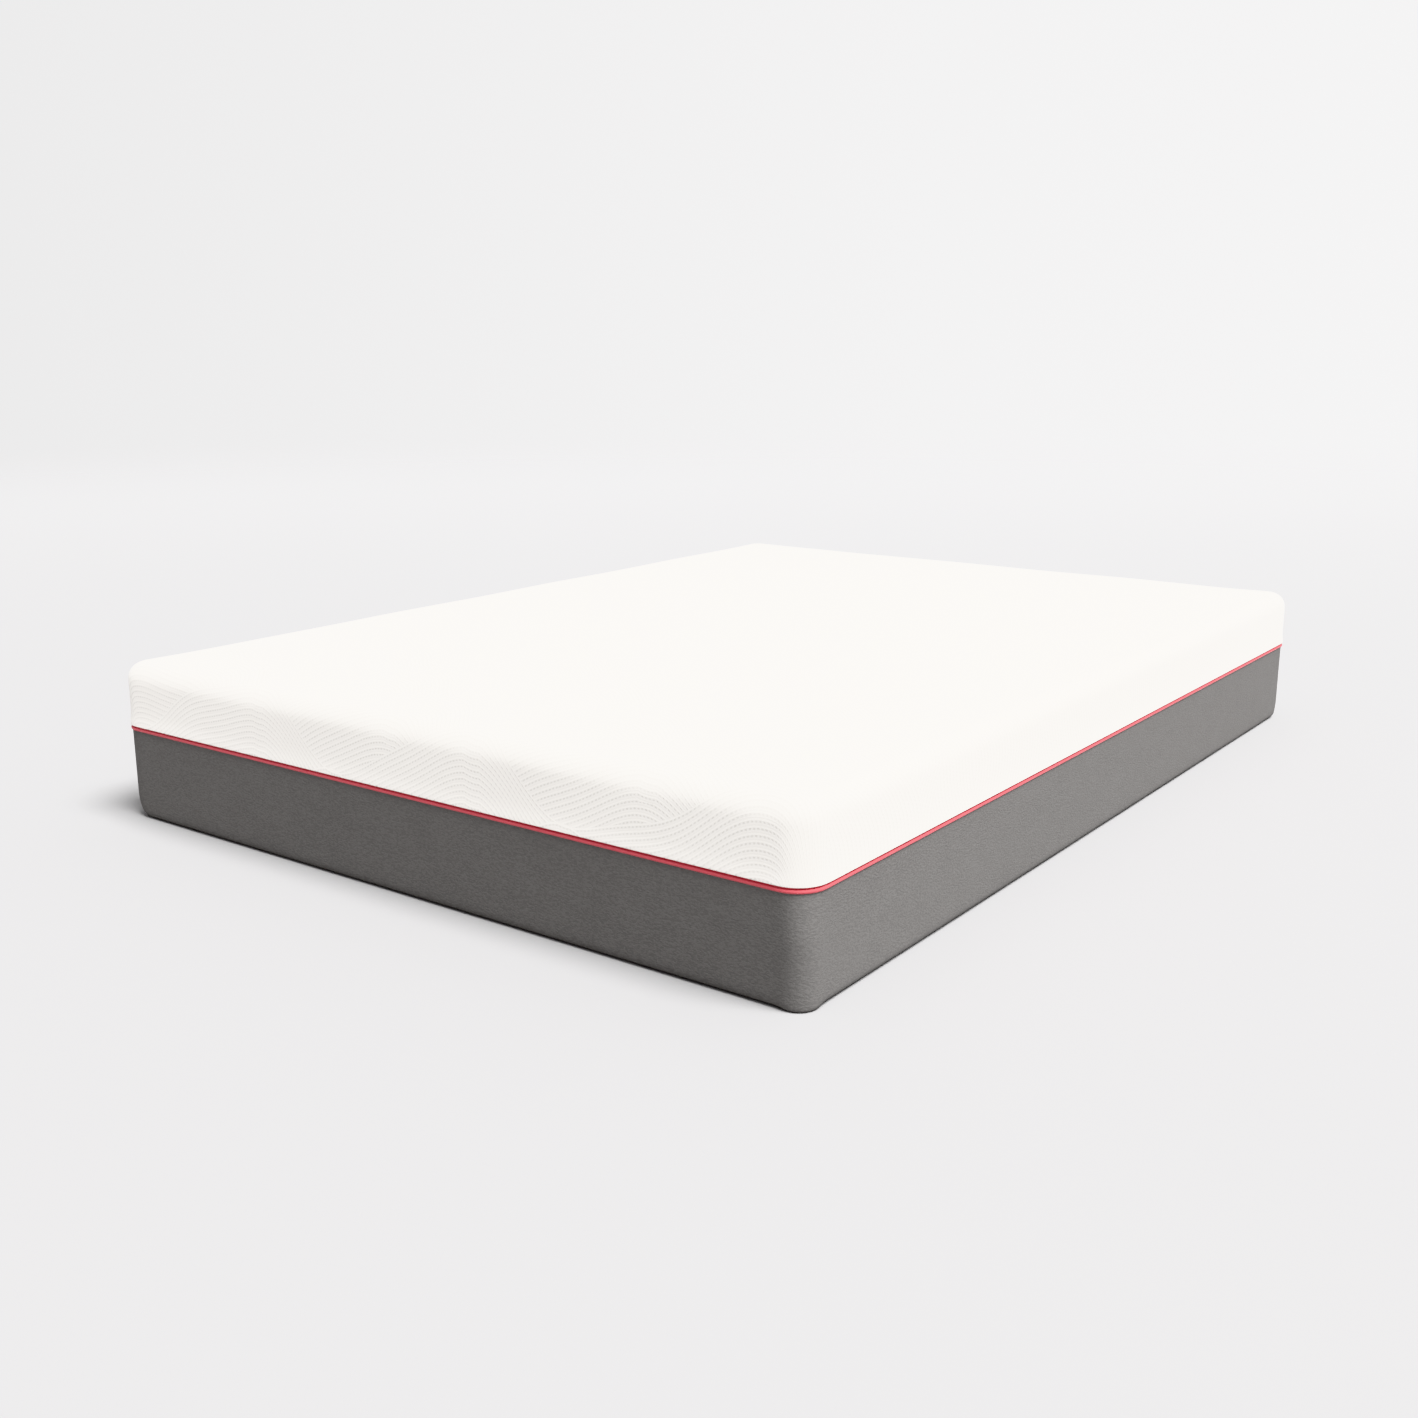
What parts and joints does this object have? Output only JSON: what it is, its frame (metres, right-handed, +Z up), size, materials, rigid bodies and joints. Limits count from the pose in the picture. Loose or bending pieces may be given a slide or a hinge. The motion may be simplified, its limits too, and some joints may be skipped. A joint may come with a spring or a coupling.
{
  "type": "memory foam mattress",
  "caption": "Foam mattress with a white knitted zip-off top cover over a grey lower cover, a red piped zip seam between them and a layered foam core inside.",
  "frame": {"origin": "on the floor, under the middle of the mattress", "axes": "+X across the width, +Y along the length towards the head end, where the zip slider and the care label are, +Z up"},
  "size_m": [1.4, 1.904, 0.268],
  "materials": {
    "knit_white": "matte",
    "border_grey": "matte",
    "base_fabric": "matte",
    "seam_tape": "matte",
    "piping_red": "matte",
    "piping_core": "matte",
    "zip_tape_red": "matte",
    "zip_coil_red": "satin",
    "liner_white": "matte",
    "memory_foam": "matte",
    "transition_foam": "matte",
    "support_foam": "matte",
    "slider_metal": "satin",
    "label_white": "satin"
  },
  "bodies": {
    "lower_cover": {"side_border": "border_grey", "base_panel": "base_fabric", "base_seam_tape": "seam_tape", "piping_cover": "piping_red", "piping_cord": "piping_core", "lower_zip_tape": "zip_tape_red", "lower_zip_coil": "zip_coil_red", "zip_end_stops": "zip_coil_red", "care_label": "label_white"},
    "core": {"memory_foam_layer": "memory_foam", "transition_foam_layer": "transition_foam", "support_foam_base": "support_foam", "inner_liner": "liner_white"},
    "top_cover": {"top_cover": "knit_white", "upper_zip_tape": "zip_tape_red", "upper_zip_coil": "zip_coil_red"},
    "zip_slider": {"zip_slider_body": "slider_metal", "zip_slider_bridge": "slider_metal"},
    "zip_pull": {"zip_pull_tab": "slider_metal"}
  },
  "joints": [
    {"name": "core_lift", "type": "slide", "parent": "lower_cover", "child": "core", "axis": [0, 0, 1], "range_m": [0, 0.25]},
    {"name": "top_cover_lift", "type": "slide", "parent": "core", "child": "top_cover", "axis": [0, 0, 1], "range_m": [0, 0.2]},
    {"name": "zip_run", "type": "slide", "parent": "lower_cover", "child": "zip_slider", "axis": [1, 0, 0], "range_m": [0, 1.2]},
    {"name": "pull_tab_swing", "type": "hinge", "parent": "zip_slider", "child": "zip_pull", "pos_m": [-0.585, 0.9519, 0.16], "axis": [0, 0, 1], "range_deg": [0, 180]}
  ]
}
